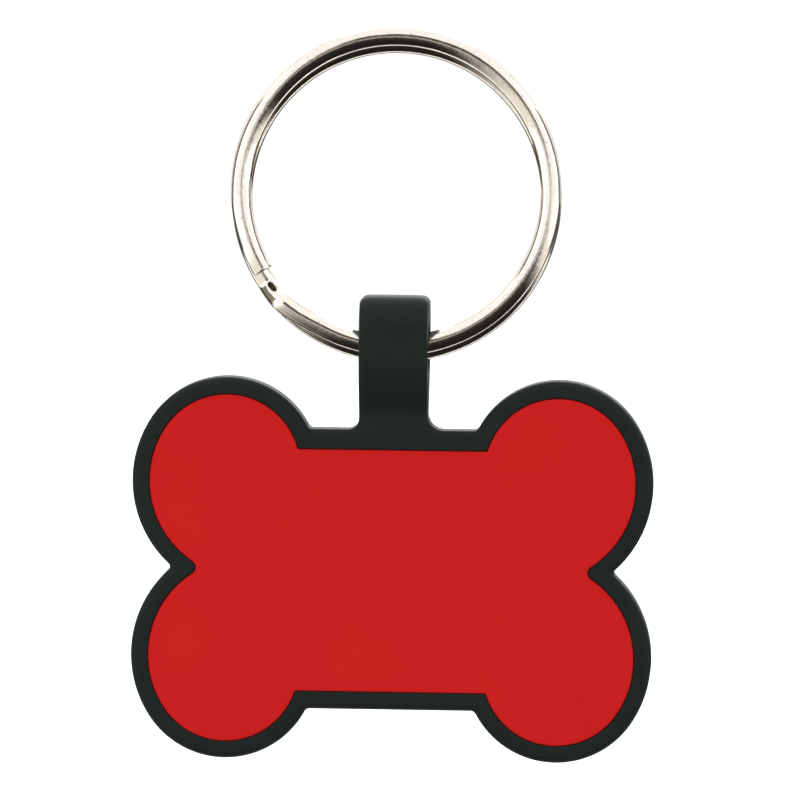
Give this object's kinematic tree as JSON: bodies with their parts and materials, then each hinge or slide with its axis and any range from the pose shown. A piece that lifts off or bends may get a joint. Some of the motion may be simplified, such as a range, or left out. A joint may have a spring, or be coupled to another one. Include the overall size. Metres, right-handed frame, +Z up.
{
  "type": "pet id tag",
  "caption": "Bone-shaped rubber pet tag with an inlaid red face plate for engraving, hanging by its strap eye from a double-turn split ring.",
  "frame": {"origin": "inner top of the split ring, where the ring hangs on a collar's D-ring", "axes": "+Z up along the hanging tag, +X to the right across the face, -Y out of the face plate, +Y out of the plain back"},
  "size_m": [0.0394, 0.0062, 0.0557],
  "materials": {
    "rubber": "matte moulded black rubber with a faint grain",
    "panel": "satin red lacquered sheet, engraved through its colour",
    "film": "double-sided adhesive film, hidden",
    "ring": "bright warm nickel plate on spring steel"
  },
  "bodies": {
    "ring": {"split_ring": "ring"},
    "tag": {"tag_body": "rubber", "face_panel": "panel", "bonding_film": "film"}
  },
  "joints": [
    {"name": "tag_swing", "type": "hinge", "parent": "ring", "child": "tag", "pos_m": [0, 0, -0.02245], "axis": [1, 0, 0], "range_deg": [-130, 130]}
  ]
}
